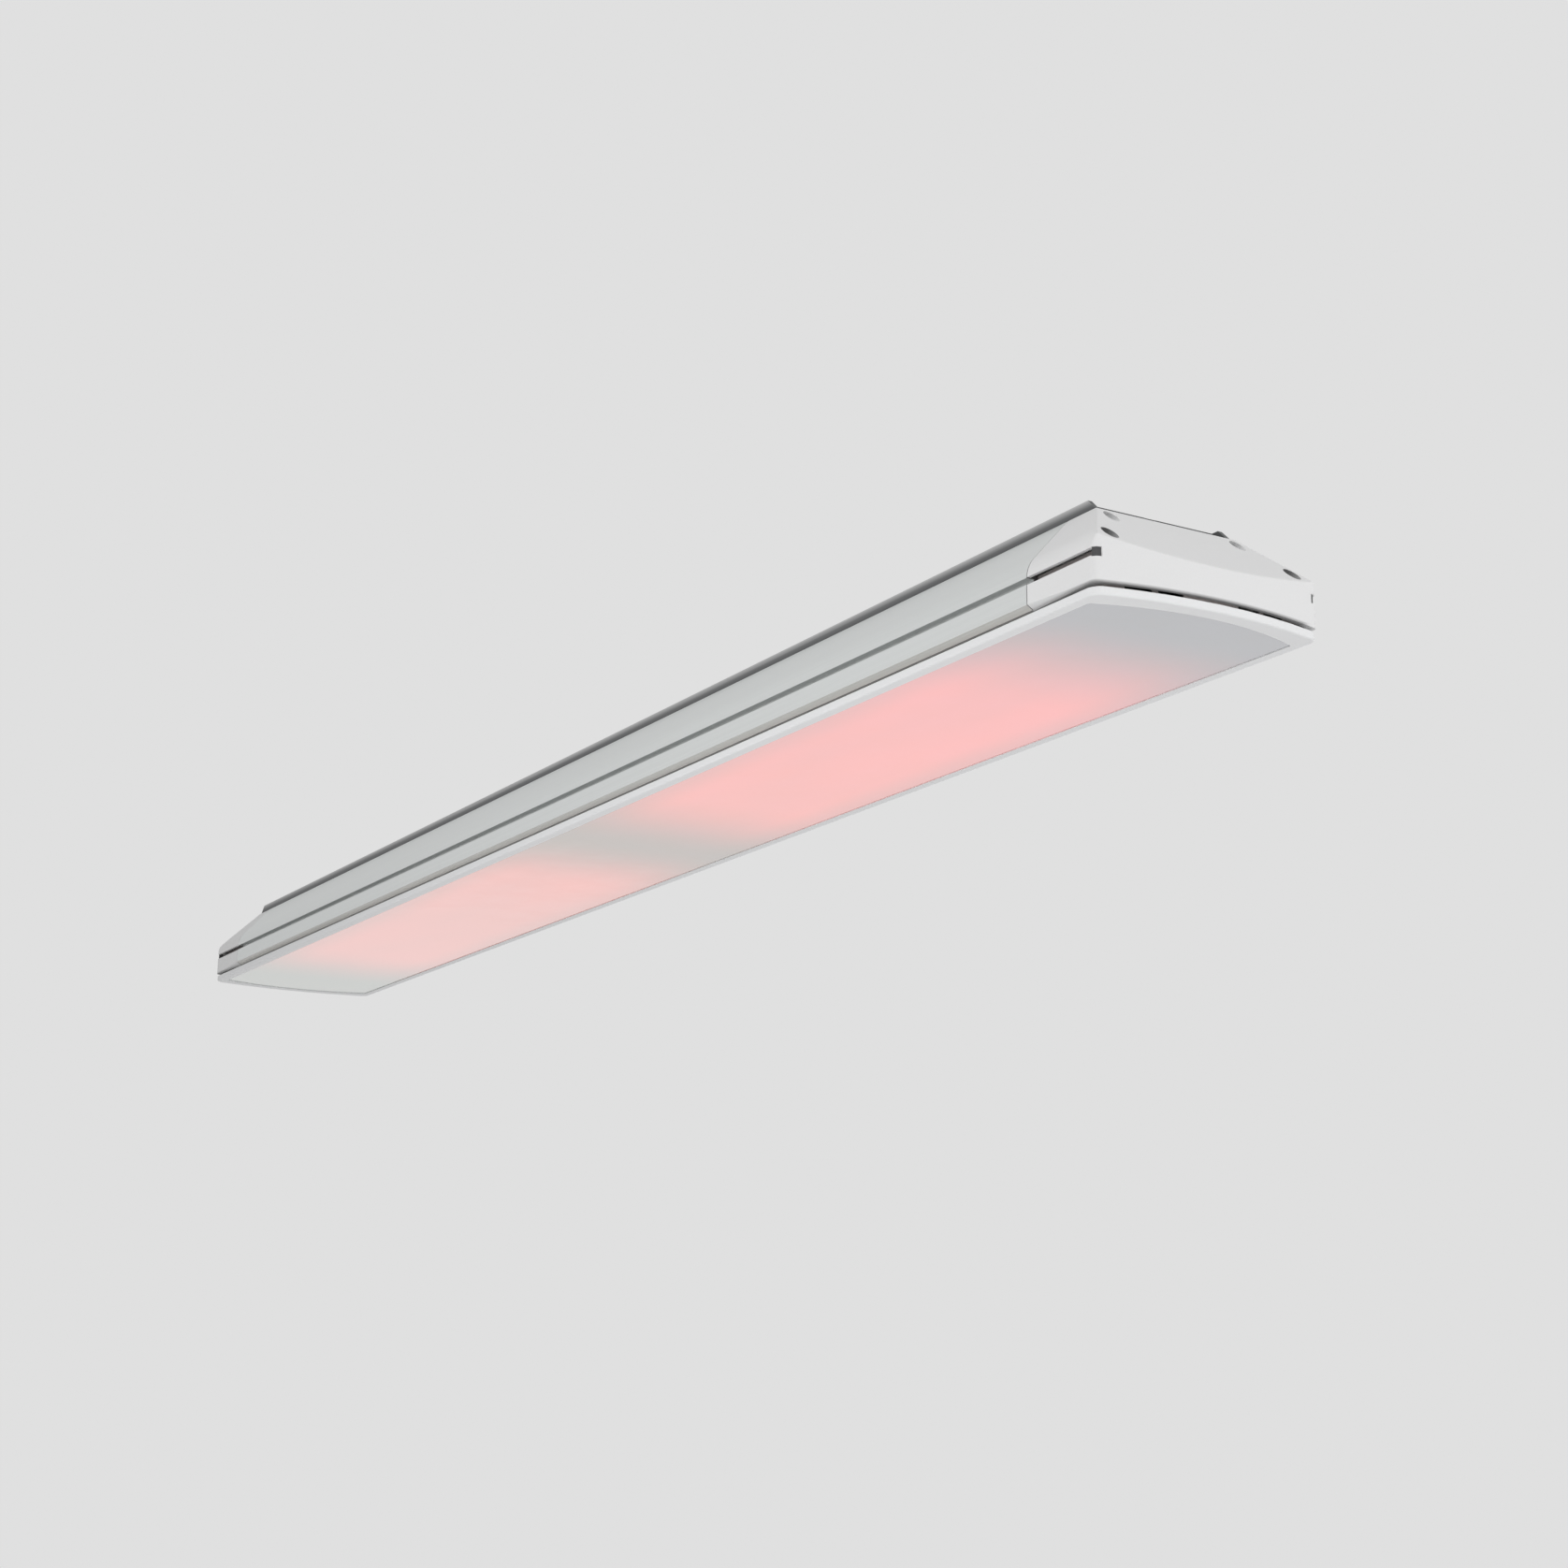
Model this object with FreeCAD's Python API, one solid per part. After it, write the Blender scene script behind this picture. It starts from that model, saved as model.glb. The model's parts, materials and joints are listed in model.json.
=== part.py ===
import FreeCAD, Part
import os
from math import acos, atan2, cos, hypot, pi, sin, sqrt
from FreeCAD import Vector

# Ceiling-hung radiant heater with a glass front, in millimetres.
# X runs along the heater, Z points up. The origin is the centre of the rail's top plane,
# which meets the ceiling, so the whole heater lies below it.
# Heights named h_... are counted upwards from the face of the front frame.

# Overall form
half_width = 84.0
corner_length = 1487.0
end_bow = 10.9
corner_radius = 5.0

# Housing extrusion, cross-section
gap_height = 2.4
side_height = 18.7
shoulder_radius = 22.0
crown_rise = 42.5
flank_inset = 31.0
housing_wall = 2.4
crown_wall = 2.6
lip_width = 6.5
lip_thickness = 4.0
edge_inset = 4.2
edge_drop = 3.6
edge_step = 1.0
groove_height = 4.2
groove_depth = 5.4
groove_rise = 18.1
groove_wall = 2.4

# Screw ports for the end caps
upper_port_in = 5.0
port_bite = 1.4
lower_port_along = 6.0
lower_port_depth = 7.5
port_radius = 5.8
port_hole_radius = 1.75
port_thread_depth = 22.0

# End caps
cap_length = 63.7
cap_wall = 2.5
cap_edge_fillet = 1.4
cap_edge_share = 0.1
end_wall_height = 19.9
slope_setback = 35.2
post_radius = 6.2
recess_radius = 4.8
recess_floor = 3.5
slot_height = 4.8
slot_overrun = 2.5
slot_head_length = 5.0
slot_head_extra = 0.5
slot_overcut = 3.0
stop_inset = 0.8
gasket_thickness = 0.8
gasket_inset = 0.5

# Cap screws
cap_screw_radius = 1.7
cap_screw_hole_radius = 2.1
cap_screw_head_radius = 3.8
cap_screw_head_height = 2.8
cap_screw_length = 18.0
socket_radius = 1.3
socket_depth = 1.4

# Front frame and glass
frame_height = 5.4
frame_corner_radius = 9.0
frame_edge_fillet = 1.5
frame_top_fillet = 0.7
frame_rim = 7.8
frame_end_rim = 15.1
glass_bow = 14.7
glass_corner_radius = 3.0
glass_thickness = 3.5
glass_recess = 0.5
glass_gap = 0.4
seal_thickness = 0.6
seal_width = 3.6
ledge_width = 14.0
upstand_inset = 6.0
upstand_height = 0.8

# Inner tray
tray_gap = 0.2
tray_sheet = 1.2
vent_length = 17.4
vent_height = 5.0
vent_first = 29.2
vent_pitch = 21.3
vents_per_side = 2

# Rivets that join the frame's ledge to the tray's flange
rivet_radius = 1.6
rivet_head_radius = 2.6
rivet_head_height = 1.0
rivet_tail_height = 0.45
rivet_edge = 7.0
rivet_end_inset = 103.5
rivet_count = 9

# Screws that hold the tray to the groove ribs
tray_screw_radius = 1.5
tray_screw_head_radius = 2.8
tray_screw_head_height = 2.0
tray_screw_end_inset = 120.0
tray_screw_count = 6

# Heating tubes with their holders
tube_radius = 7.5
tube_wall = 1.2
tube_drop = 14.0
tube_inner_x = 40.0
tube_end_inset = 118.5
ceramic_radius = 11.0
ceramic_flange_radius = 15.0
ceramic_flange = 5.0
ceramic_nose = 14.0
tube_seat_depth = 15.0
ceramic_back = 12.0
filament_width = 8.0
filament_thickness = 0.6

# Bulkheads and reflectors
bulkhead_sheet = 1.5
bulkhead_shoulder_drop = 3.0
bulkhead_port_gap = 3.5
bulkhead_top_inset = 26.0
bulkhead_flange = 14.0
reflector_sheet = 0.8
reflector_foot_in = 2.5
reflector_top_inset = 44.0
reflector_drop = 6.6

# Heat shield and the electrics on it
electrics_height = 17.4
shield_sheet = 1.0
shield_overhang = 60.0
shield_edge = 2.0
shield_screw_radius = 1.5
shield_screw_head_radius = 2.8
shield_screw_head_height = 1.8
shield_screw_depth = 5.0
shield_screw_edge = 14.0
lead_radius = 1.5
lead_bend = 8.0
lead_rest_gap = 0.2
lead_reach = 18.0
lead_hole_clearance = 1.5
return_lead_y = 6.0
earth_lead_y = -7.0
terminal_length = 40.0
terminal_width = 34.0
terminal_height = 13.0
terminal_from_end = 5.0
terminal_pole_pitch = 11.0
terminal_pole_width = 7.0
terminal_pole_depth = 4.0
terminal_screw_radius = 2.2
terminal_screw_height = 2.5
cutout_from_end = 125.0
cutout_length = 22.0
cutout_width = 16.0
cutout_height = 7.0
cutout_disc_radius = 7.0
cutout_disc_height = 2.5
earth_from_end = 65.0
earth_screw_radius = 2.0
earth_head_flats = 7.0
earth_head_height = 3.2
earth_screw_depth = 6.0

# Cable gland on the left cap's slope
gland_thread_radius = 9.8
gland_clearance = 0.2
gland_bore_radius = 5.5
gland_flange_flats = 24.0
gland_flange = 4.5
gland_stub_radius = 8.5
gland_stub = 8.0
gland_nut_flats = 22.0
gland_nut_height = 12.0
gland_nut_draw = 1.5
locknut_thickness = 4.5
gland_tail = 1.5

# Mounting rail and slot nuts
rail_height = 8.0
rail_side_inset = 1.2
rail_end_inset = 2.0
rail_edge_fillet = 0.8
rail_end_slope = 8.0
rail_notch_depth = 13.5
rail_prong_width = 3.5
slot_mouth_width = 8.4
slot_width = 15.4
slot_lip = 2.4
slot_floor = 1.4
nut_length = 30.0
nut_clearance = 0.2
nut_neck_drop = 0.6
nut_thread_radius = 2.5
nut_from_end = 256.0
plug_length = 14.0
plug_clearance = 0.1
rail_screw_end_inset = 66.0
rail_screw_count = 6
rail_screw_inset = 17.0
rail_screw_radius = 2.0
rail_screw_depth = 5.5
rail_screw_head_radius = 3.5
rail_screw_head_height = 2.4

# Clearance of pins in holes, and how far cutting shapes reach past the piece
fit_gap = 0.1
beyond = 60.0

# Levels, counted from the frame's face
h_body = frame_height + gap_height
h_side_top = h_body + side_height
h_crown = h_side_top + crown_rise
h_groove = h_body + groove_rise
h_end_wall = h_body + end_wall_height
slot_half = slot_height / 2
slot_head_half = slot_half + slot_head_extra
total_height = h_crown + rail_height
h_glass = glass_recess
h_seal = h_glass + glass_thickness
h_ledge = h_seal + seal_thickness
h_tray = frame_height + upstand_height
h_tray_floor = h_tray + tray_sheet
h_tray_top = h_groove + groove_height / 2 + groove_wall
h_shield = h_crown - crown_wall - electrics_height - shield_sheet
h_reflector = h_shield - reflector_drop
h_tube = h_reflector - tube_drop
h_electrics = h_shield + shield_sheet
h_terminal = h_electrics + terminal_height
h_lead = h_electrics + lead_radius + lead_rest_gap

# Stations along X
corner_x = corner_length / 2
seam_x = corner_x - cap_length
cap_x = seam_x + gasket_thickness
apex_x = corner_x + end_bow
slope_top_x = corner_x - slope_setback
slot_end_x = corner_x + slot_overrun
rail_end_x = slope_top_x - rail_end_inset
tube_outer_x = corner_x - tube_end_inset
terminal_x = terminal_from_end - tube_outer_x
cutout_x = cutout_from_end - tube_outer_x
earth_x = earth_from_end - tube_outer_x
rail_notch_x = rail_end_x - rail_notch_depth
nut_rest_x = rail_end_x - nut_from_end
ceramic_end_x = tube_outer_x + bulkhead_sheet + ceramic_back
lead_drop_x = ceramic_end_x + lead_reach
terminal_left = terminal_x - terminal_length / 2
terminal_right = terminal_x + terminal_length / 2
cutout_left = cutout_x - cutout_length / 2
cutout_right = cutout_x + cutout_length / 2

# Distances from the middle plane, along Y
crown_half_width = half_width - flank_inset
rail_half_width = crown_half_width - rail_side_inset
rail_screw_y = rail_half_width - rail_screw_inset
rail_notch_y = rail_half_width - rail_prong_width
rib_inner_y = half_width - groove_depth - groove_wall
slot_inner_y = half_width - cap_wall - slot_overcut
tray_inset = half_width - rib_inner_y + tray_gap
tray_inner_y = half_width - tray_inset - tray_sheet
aperture_y = half_width - frame_rim - ledge_width
bulkhead_top_y = half_width - bulkhead_top_inset
shield_y = bulkhead_top_y - shield_edge
shield_screw_y = bulkhead_top_y - shield_screw_edge

os.makedirs("parts", exist_ok=True)


def level(height):
    """Z of a height counted from the frame's face."""
    return height - total_height


def save(name, *solids):
    """Write one node, made of one solid or of a group of separate solids."""
    shape = solids[0] if len(solids) == 1 else Part.makeCompound(list(solids))
    shape.exportStep("parts/" + name + ".step")


def block(x0, x1, y0, y1, h0, h1):
    return Part.makeBox(x1 - x0, y1 - y0, h1 - h0, Vector(x0, y0, level(h0)))


def rod(radius, start, end):
    return Part.makeCylinder(radius, (end - start).Length, start, end - start)


def point(x, y, height):
    return Vector(x, y, level(height))


def hexagon(flats, start, end):
    """Hexagonal prism between two points, with two of its corners on a line along Y."""
    axis = (end - start).normalize()
    side = Vector(0, 1, 0)
    other = axis.cross(side)
    reach = flats / sqrt(3)
    turns = [k * pi / 3 for k in range(6)]
    corners = [start + side * (reach * cos(a)) + other * (reach * sin(a)) for a in turns]
    face = Part.Face(Part.makePolygon(corners + corners[:1]))
    return face.extrude(end - start)


def upright(radius, x, y, h0, h1):
    """Round bar along Z."""
    return rod(radius, point(x, y, h0), point(x, y, h1))


def lengthwise(radius, x0, x1, y, h):
    """Round bar along X."""
    return rod(radius, point(x0, y, h), point(x1, y, h))


def crosswise(radius, x, y0, y1, h):
    """Round bar along Y."""
    return rod(radius, point(x, y0, h), point(x, y1, h))


def left_of(shape):
    """The same piece at the other end."""
    return shape.mirror(Vector(0, 0, 0), Vector(1, 0, 0))


def spread(count, reach):
    """Evenly spaced stations from -reach to reach."""
    return [reach * (2 * k / (count - 1) - 1) for k in range(count)]


tray_screw_stations = spread(tray_screw_count, seam_x - tray_screw_end_inset)


def section_prism(outline, x0, x1):
    """Extrude a closed (y, height) outline along X."""
    points = [point(x0, y, h) for y, h in outline]
    return Part.Face(Part.makePolygon(points + points[:1])).extrude(Vector(x1 - x0, 0, 0))


def bowed_plate(inset, end_inset, bow, radius, h0, h1):
    """Plate with straight long sides, ends bowed outwards and round corners."""
    x = corner_x - end_inset
    y = half_width - inset
    z = level(h0)
    edges = [
        Part.LineSegment(Vector(-x, -y, z), Vector(x, -y, z)),
        Part.Arc(Vector(x, -y, z), Vector(x + bow, 0, z), Vector(x, y, z)),
        Part.LineSegment(Vector(x, y, z), Vector(-x, y, z)),
        Part.Arc(Vector(-x, y, z), Vector(-x - bow, 0, z), Vector(-x, -y, z)),
    ]
    plate = Part.Face(Part.Wire([e.toShape() for e in edges])).extrude(Vector(0, 0, h1 - h0))
    corners = [e for e in plate.Edges if e.BoundBox.ZLength > (h1 - h0) / 2]
    return plate.makeFillet(radius, corners)


def flank():
    """Angle of the shoulder's arc, and the point where the straight flank starts."""
    centre_y = half_width - shoulder_radius
    run = crown_half_width - centre_y
    rise = h_crown - h_side_top
    angle = atan2(rise, run) - acos(shoulder_radius / hypot(run, rise))
    return angle, (centre_y + shoulder_radius * cos(angle), h_side_top + shoulder_radius * sin(angle))


turn, flank_start = flank()
flank_way = (-sin(turn), cos(turn))
flank_in = (-cos(turn), -sin(turn))


def dome_section(wall, crown, floor_height, x0, x1):
    """Solid of the housing's outline, drawn in by a wall and a crown thickness."""
    y_side = half_width - wall
    y_centre = half_width - shoulder_radius
    r = shoulder_radius - wall
    h_top = h_crown - crown
    bend = (y_centre + r * cos(turn), h_side_top + r * sin(turn))
    mid = (y_centre + r * cos(turn / 2), h_side_top + r * sin(turn / 2))
    y_top = bend[0] + (h_top - bend[1]) * flank_way[0] / flank_way[1]

    def at(y, h):
        return point(x0, y, h)

    edges = [
        Part.LineSegment(at(-y_side, floor_height), at(y_side, floor_height)),
        Part.LineSegment(at(y_side, floor_height), at(y_side, h_side_top)),
        Part.Arc(at(y_side, h_side_top), at(*mid), at(*bend)),
        Part.LineSegment(at(*bend), at(y_top, h_top)),
        Part.LineSegment(at(y_top, h_top), at(-y_top, h_top)),
        Part.LineSegment(at(-y_top, h_top), at(-bend[0], bend[1])),
        Part.Arc(at(-bend[0], bend[1]), at(-mid[0], mid[1]), at(-y_side, h_side_top)),
        Part.LineSegment(at(-y_side, h_side_top), at(-y_side, floor_height)),
    ]
    return Part.Face(Part.Wire([e.toShape() for e in edges])).extrude(Vector(x1 - x0, 0, 0))


def edge_wedges(x0, x1, end_share=1.0):
    """What is cut off the two lower edges: a chamfer over a small step, narrowed to end_share at x1."""
    shapes = []
    for side in (-1, 1):
        sections = []
        for x, share in ((x0, 1.0), (x1, end_share)):
            y_in = half_width - share * edge_inset
            outline = [
                (half_width, h_body),
                (half_width, h_body + share * edge_drop),
                (y_in, h_body + share * edge_step),
                (y_in, h_body),
            ]
            corners = [point(x, side * y, h) for y, h in outline]
            sections.append(Part.makePolygon(corners + corners[:1]))
        shapes.append(Part.makeLoft(sections, True, True))
    return shapes


# Screw port centres, (y, height), on both sides of the section
upper_port = (crown_half_width - upper_port_in, h_crown - crown_wall - port_radius + port_bite)
lower_port = (flank_start[0] + lower_port_along * flank_way[0] + lower_port_depth * flank_in[0],
              flank_start[1] + lower_port_along * flank_way[1] + lower_port_depth * flank_in[1])
ports = [(side * y, h) for y, h in (upper_port, lower_port) for side in (-1, 1)]


def profile(x0, x1):
    """The extrusion's section between two stations: dome, inward lips, groove ribs and screw ports."""
    outer = dome_section(0, 0, h_body, x0, x1).cut(edge_wedges(x0, x1))
    inner = dome_section(housing_wall, crown_wall, h_body + lip_thickness, x0, x1)
    mouth_y = half_width - lip_width
    mouth = block(x0, x1, -mouth_y, mouth_y, h_body, h_body + lip_thickness)
    groove_half = groove_height / 2
    rib_half = groove_half + groove_wall
    added = [lengthwise(port_radius, x0, x1, y, h) for y, h in ports]
    grooves = []
    for side in (-1, 1):
        rib_y = sorted((side * rib_inner_y, side * (half_width - housing_wall / 2)))
        groove_y = sorted((side * (half_width - groove_depth), side * (half_width + beyond)))
        added.append(block(x0, x1, *rib_y, h_groove - rib_half, h_groove + rib_half))
        grooves.append(block(x0, x1, *groove_y, h_groove - groove_half, h_groove + groove_half))
    return outer.cut([inner, mouth]).fuse(added).common(outer).cut(grooves)


def housing_profile():
    """Aluminium extrusion of one constant section, drilled for the screws of tray, caps and rail."""
    removed = []
    for x in tray_screw_stations:
        for side in (-1, 1):
            removed.append(crosswise(tray_screw_radius + fit_gap, x, side * rib_inner_y,
                                     side * (half_width - groove_depth), h_groove))
    for y, h in ports:
        thread = lengthwise(port_hole_radius, seam_x - port_thread_depth, seam_x, y, h)
        removed += [thread, left_of(thread)]
    for x, y in rail_screw_places():
        removed.append(upright(rail_screw_radius + fit_gap, x, y, h_crown - crown_wall, h_crown))
    return profile(-seam_x, seam_x).cut(removed).removeSplitter()


def cap_gasket():
    """Thin gasket between the housing and the right cap, of the housing's section but a little smaller."""
    limit = dome_section(gasket_inset, gasket_inset, h_body, seam_x, cap_x)
    holes = [lengthwise(cap_screw_hole_radius, seam_x, cap_x, y, h) for y, h in ports]
    return profile(seam_x, cap_x).common(limit).cut(holes).removeSplitter()


def slope_wedge(drop):
    """Everything above the right cap's sloping face, lowered square to the face by drop."""
    run = apex_x - slope_top_x
    fall = h_crown - h_end_wall
    dx = -drop * fall / hypot(run, fall)
    dh = -drop * run / hypot(run, fall)
    high = (slope_top_x - run + dx, h_crown + fall + dh)
    low = (apex_x + run + dx, h_end_wall - fall + dh)
    corners = [point(x, -half_width - beyond, h) for x, h in (high, low, (low[0], high[1]))]
    face = Part.Face(Part.makePolygon(corners + corners[:1]))
    return face.extrude(Vector(0, 2 * (half_width + beyond), 0))


def round_slope(cap):
    """Ease the edges around the right cap's sloping face."""
    base = point(slope_top_x, 0, h_crown)
    normal = Vector(h_crown - h_end_wall, 0, apex_x - slope_top_x).normalize()
    flat = [f for f in cap.Faces if all(abs((v.Point - base).dot(normal)) < fit_gap for v in f.Vertexes)]
    return cap.makeFillet(cap_edge_fillet, flat[0].Edges)


def end_cap():
    """Right end cap: hollow, open below, with four screw posts and the grooves' slots."""
    far_x = apex_x + beyond
    plan = bowed_plate(0, 0, end_bow, corner_radius, h_body, h_crown)
    outer = dome_section(0, 0, h_body, cap_x, far_x).common(plan).cut(slope_wedge(0))
    outer = round_slope(outer).cut(edge_wedges(cap_x, corner_x, cap_edge_share))
    inner_plan = bowed_plate(cap_wall, cap_wall, end_bow, corner_radius - cap_wall, h_body, h_crown)
    cavity = dome_section(cap_wall, cap_wall, h_body + lip_thickness, cap_x, far_x)
    cavity = cavity.common(inner_plan).cut(slope_wedge(cap_wall))
    posts = [lengthwise(post_radius, cap_x, apex_x, y, h) for y, h in ports]
    mouth = bowed_plate(lip_width, cap_wall, end_bow, corner_radius, h_body, h_body + lip_thickness)
    removed = [cavity.cut(posts), mouth]
    seat_x = cap_x + recess_floor
    for y, h in ports:
        removed.append(lengthwise(recess_radius, seat_x, far_x, y, h))
        removed.append(lengthwise(cap_screw_hole_radius, cap_x, seat_x, y, h))
    for side in (-1, 1):
        wall_y = sorted((side * slot_inner_y, side * (half_width + beyond)))
        removed.append(block(cap_x, slot_end_x, *wall_y, h_groove - slot_half, h_groove + slot_half))
        removed.append(block(slot_end_x - slot_head_length, slot_end_x, *wall_y,
                             h_groove - slot_head_half, h_groove + slot_head_half))
    return outer.cut(removed)


def groove_stop(side):
    """Dark stop that closes the head of one slot of the right cap, a little below the surface."""
    h0 = h_groove - slot_head_half
    h1 = h_groove + slot_head_half
    y0, y1 = sorted((side * slot_inner_y, side * half_width))
    plan = bowed_plate(stop_inset, stop_inset, end_bow, corner_radius - stop_inset, h0, h1)
    return block(slot_end_x - slot_head_length, slot_end_x, y0, y1, h0, h1).common(plan)


def cap_screw(y, h):
    """Pan-head screw in the right cap, from the recess floor into the housing's port."""
    seat = cap_x + recess_floor
    head_top = seat + cap_screw_head_height
    shank = lengthwise(cap_screw_radius, head_top - cap_screw_length, seat, y, h)
    head = lengthwise(cap_screw_head_radius, seat, head_top, y, h)
    socket = lengthwise(socket_radius, head_top - socket_depth, head_top, y, h)
    return shank.fuse(head).cut(socket).removeSplitter()


def opening_behind_glass(h0, h1):
    """Space inside the frame's ledge and the tray's flange."""
    return bowed_plate(frame_rim + ledge_width, frame_end_rim + ledge_width, glass_bow,
                       glass_corner_radius, h0, h1)


def front_frame():
    """White frame: outer rim, and a ledge behind the glass."""
    rim = bowed_plate(0, 0, end_bow, frame_corner_radius, 0, frame_height)
    low = [e for e in rim.Edges if e.BoundBox.ZMax < level(fit_gap)]
    rim = rim.makeFillet(frame_edge_fillet, low)
    high = [e for e in rim.Edges if e.BoundBox.ZMin > level(frame_height - fit_gap)]
    rim = rim.makeFillet(frame_top_fillet, high)
    ledge = bowed_plate(upstand_inset, upstand_inset, end_bow, corner_radius, frame_height, h_tray)
    pocket = bowed_plate(frame_rim, frame_end_rim, glass_bow, glass_corner_radius, 0, h_ledge)
    removed = [pocket, opening_behind_glass(h_ledge, h_tray)]
    removed += [upright(rivet_radius + fit_gap, x, y, h_ledge, h_tray) for x, y in rivet_places()]
    return rim.fuse(ledge).cut(removed).removeSplitter()


def glass_plate(inset, h0, h1):
    """Plate of the glass's outline, drawn in by inset."""
    return bowed_plate(frame_rim + glass_gap + inset, frame_end_rim + glass_gap + inset, glass_bow,
                       glass_corner_radius, h0, h1)


def glass_seal():
    """Flat silicone strip all round, between the glass and the frame's ledge."""
    return glass_plate(0, h_seal, h_ledge).cut(glass_plate(seal_width, h_seal, h_ledge))


def tray_plate(inset, h0, h1):
    """Plate of the tray's outline, drawn in by inset."""
    return bowed_plate(tray_inset + inset, tray_inset + inset, end_bow, corner_radius - inset, h0, h1)


def inner_tray():
    """Folded sheet ring: flange on the frame's ledge, wall up to the groove ribs, vents at the ends."""
    removed = [tray_plate(tray_sheet, h_tray_floor, h_tray_top), opening_behind_glass(h_tray, h_tray_floor)]
    vent_x = corner_x - tray_inset - tray_sheet
    for y in [side * (vent_first + k * vent_pitch) for k in range(vents_per_side) for side in (-1, 1)]:
        vent = block(vent_x, apex_x, y - vent_length / 2, y + vent_length / 2,
                     h_tray_floor, h_tray_floor + vent_height)
        removed += [vent, left_of(vent)]
    for x, y in rivet_places():
        removed.append(upright(rivet_radius + fit_gap, x, y, h_tray, h_tray_floor))
    for x in tray_screw_stations:
        for side in (-1, 1):
            removed.append(crosswise(tray_screw_radius + fit_gap, x, side * tray_inner_y,
                                     side * (tray_inner_y + tray_sheet), h_groove))
    return tray_plate(0, h_tray, h_tray_top).cut(removed)


def rivet_places():
    """Rivets stand on the flange, along both long sides."""
    y = aperture_y + rivet_edge
    return [(x, side * y) for x in spread(rivet_count, corner_x - rivet_end_inset) for side in (-1, 1)]


def frame_rivet(x, y):
    shank = upright(rivet_radius, x, y, h_ledge, h_tray_floor)
    head = upright(rivet_head_radius, x, y, h_tray_floor, h_tray_floor + rivet_head_height)
    tail = upright(rivet_head_radius, x, y, h_ledge - rivet_tail_height, h_ledge)
    return shank.fuse([head, tail]).removeSplitter()


def tray_screw(x, side):
    """Screw from inside the tray into the solid wall behind the groove."""
    tip = half_width - groove_depth
    head_y = tray_inner_y - tray_screw_head_height
    head = crosswise(tray_screw_head_radius, x, side * head_y, side * tray_inner_y, h_groove)
    shank = crosswise(tray_screw_radius, x, side * tray_inner_y, side * tip, h_groove)
    return head.fuse(shank).removeSplitter()


def bulkhead(x, outward):
    """Upright plate with a hole for a tube holder and a top flange that carries the heat shield."""
    half = [
        (tray_inner_y, h_tray_floor),
        (tray_inner_y, h_tray_top - bulkhead_shoulder_drop),
        (bulkhead_top_y, lower_port[1] - port_radius - bulkhead_port_gap),
        (bulkhead_top_y, h_shield),
    ]
    outline = half + [(-y, h) for y, h in reversed(half)]
    plate = section_prism(outline, x, x + outward * bulkhead_sheet)
    f0, f1 = sorted((x, x + outward * bulkhead_flange))
    h_flange = h_shield - bulkhead_sheet
    flange = block(f0, f1, -bulkhead_top_y, bulkhead_top_y, h_flange, h_shield)
    removed = [lengthwise(ceramic_radius + fit_gap, x, x + outward * bulkhead_sheet, 0, h_tube)]
    for y in (-shield_screw_y, shield_screw_y):
        removed.append(upright(shield_screw_radius + fit_gap, (f0 + f1) / 2, y, h_flange, h_shield))
    return plate.fuse(flange).cut(removed).removeSplitter()


# Bulkhead faces on the tube's side, with the direction that points away from the tube
bulkhead_stations = {
    "outer_bulkhead_left": (-tube_outer_x, -1),
    "inner_bulkhead_left": (-tube_inner_x, 1),
    "inner_bulkhead_right": (tube_inner_x, -1),
    "outer_bulkhead_right": (tube_outer_x, 1),
}


def reflector():
    """Bent bright sheet over the right tube, standing on the tray's flange between two bulkheads."""
    foot = aperture_y + reflector_foot_in
    top = half_width - reflector_top_inset
    rise = h_reflector - h_tray_floor
    slant = (foot - top) / rise
    sheet_across = reflector_sheet * hypot(1, slant)
    inner_top = top - sheet_across + slant * reflector_sheet
    h_inner = h_reflector - reflector_sheet
    outer = [(foot, h_tray_floor), (top, h_reflector), (-top, h_reflector), (-foot, h_tray_floor)]
    inner_foot = foot - sheet_across
    inner = [(inner_foot, h_tray_floor), (inner_top, h_inner), (-inner_top, h_inner),
             (-inner_foot, h_tray_floor)]
    solid = section_prism(outer, tube_inner_x, tube_outer_x)
    return solid.cut(section_prism(inner, tube_inner_x, tube_outer_x))


def ceramic(x, outward):
    """Ceramic holder: nose through the bulkhead, flange against its far face, seat for the tube."""
    start = x - outward * ceramic_nose
    far = x + outward * bulkhead_sheet
    body = lengthwise(ceramic_radius, start, far + outward * ceramic_back, 0, h_tube)
    flange = lengthwise(ceramic_flange_radius, far, far + outward * ceramic_flange, 0, h_tube)
    seat = lengthwise(tube_radius + fit_gap, start, start + outward * tube_seat_depth, 0, h_tube)
    return body.fuse(flange).cut(seat).removeSplitter()


# Tube ends, on the floors of the ceramics' seats
tube_x0 = tube_inner_x + ceramic_nose - tube_seat_depth
tube_x1 = tube_outer_x - ceramic_nose + tube_seat_depth


def heating_tube():
    """Quartz tube of the right element, seated in both ceramics."""
    outer = lengthwise(tube_radius, tube_x0, tube_x1, 0, h_tube)
    return outer.cut(lengthwise(tube_radius - tube_wall, tube_x0, tube_x1, 0, h_tube))


def heating_filament():
    """Flat carbon ribbon of the right element, from ceramic to ceramic inside the tube."""
    return block(tube_x0, tube_x1, -filament_width / 2, filament_width / 2,
                 h_tube - filament_thickness / 2, h_tube + filament_thickness / 2)


def shield_screw_places():
    stations = [x + outward * bulkhead_flange / 2 for x, outward in bulkhead_stations.values()]
    return [(x, y) for x in stations for y in (-shield_screw_y, shield_screw_y)]


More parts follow.
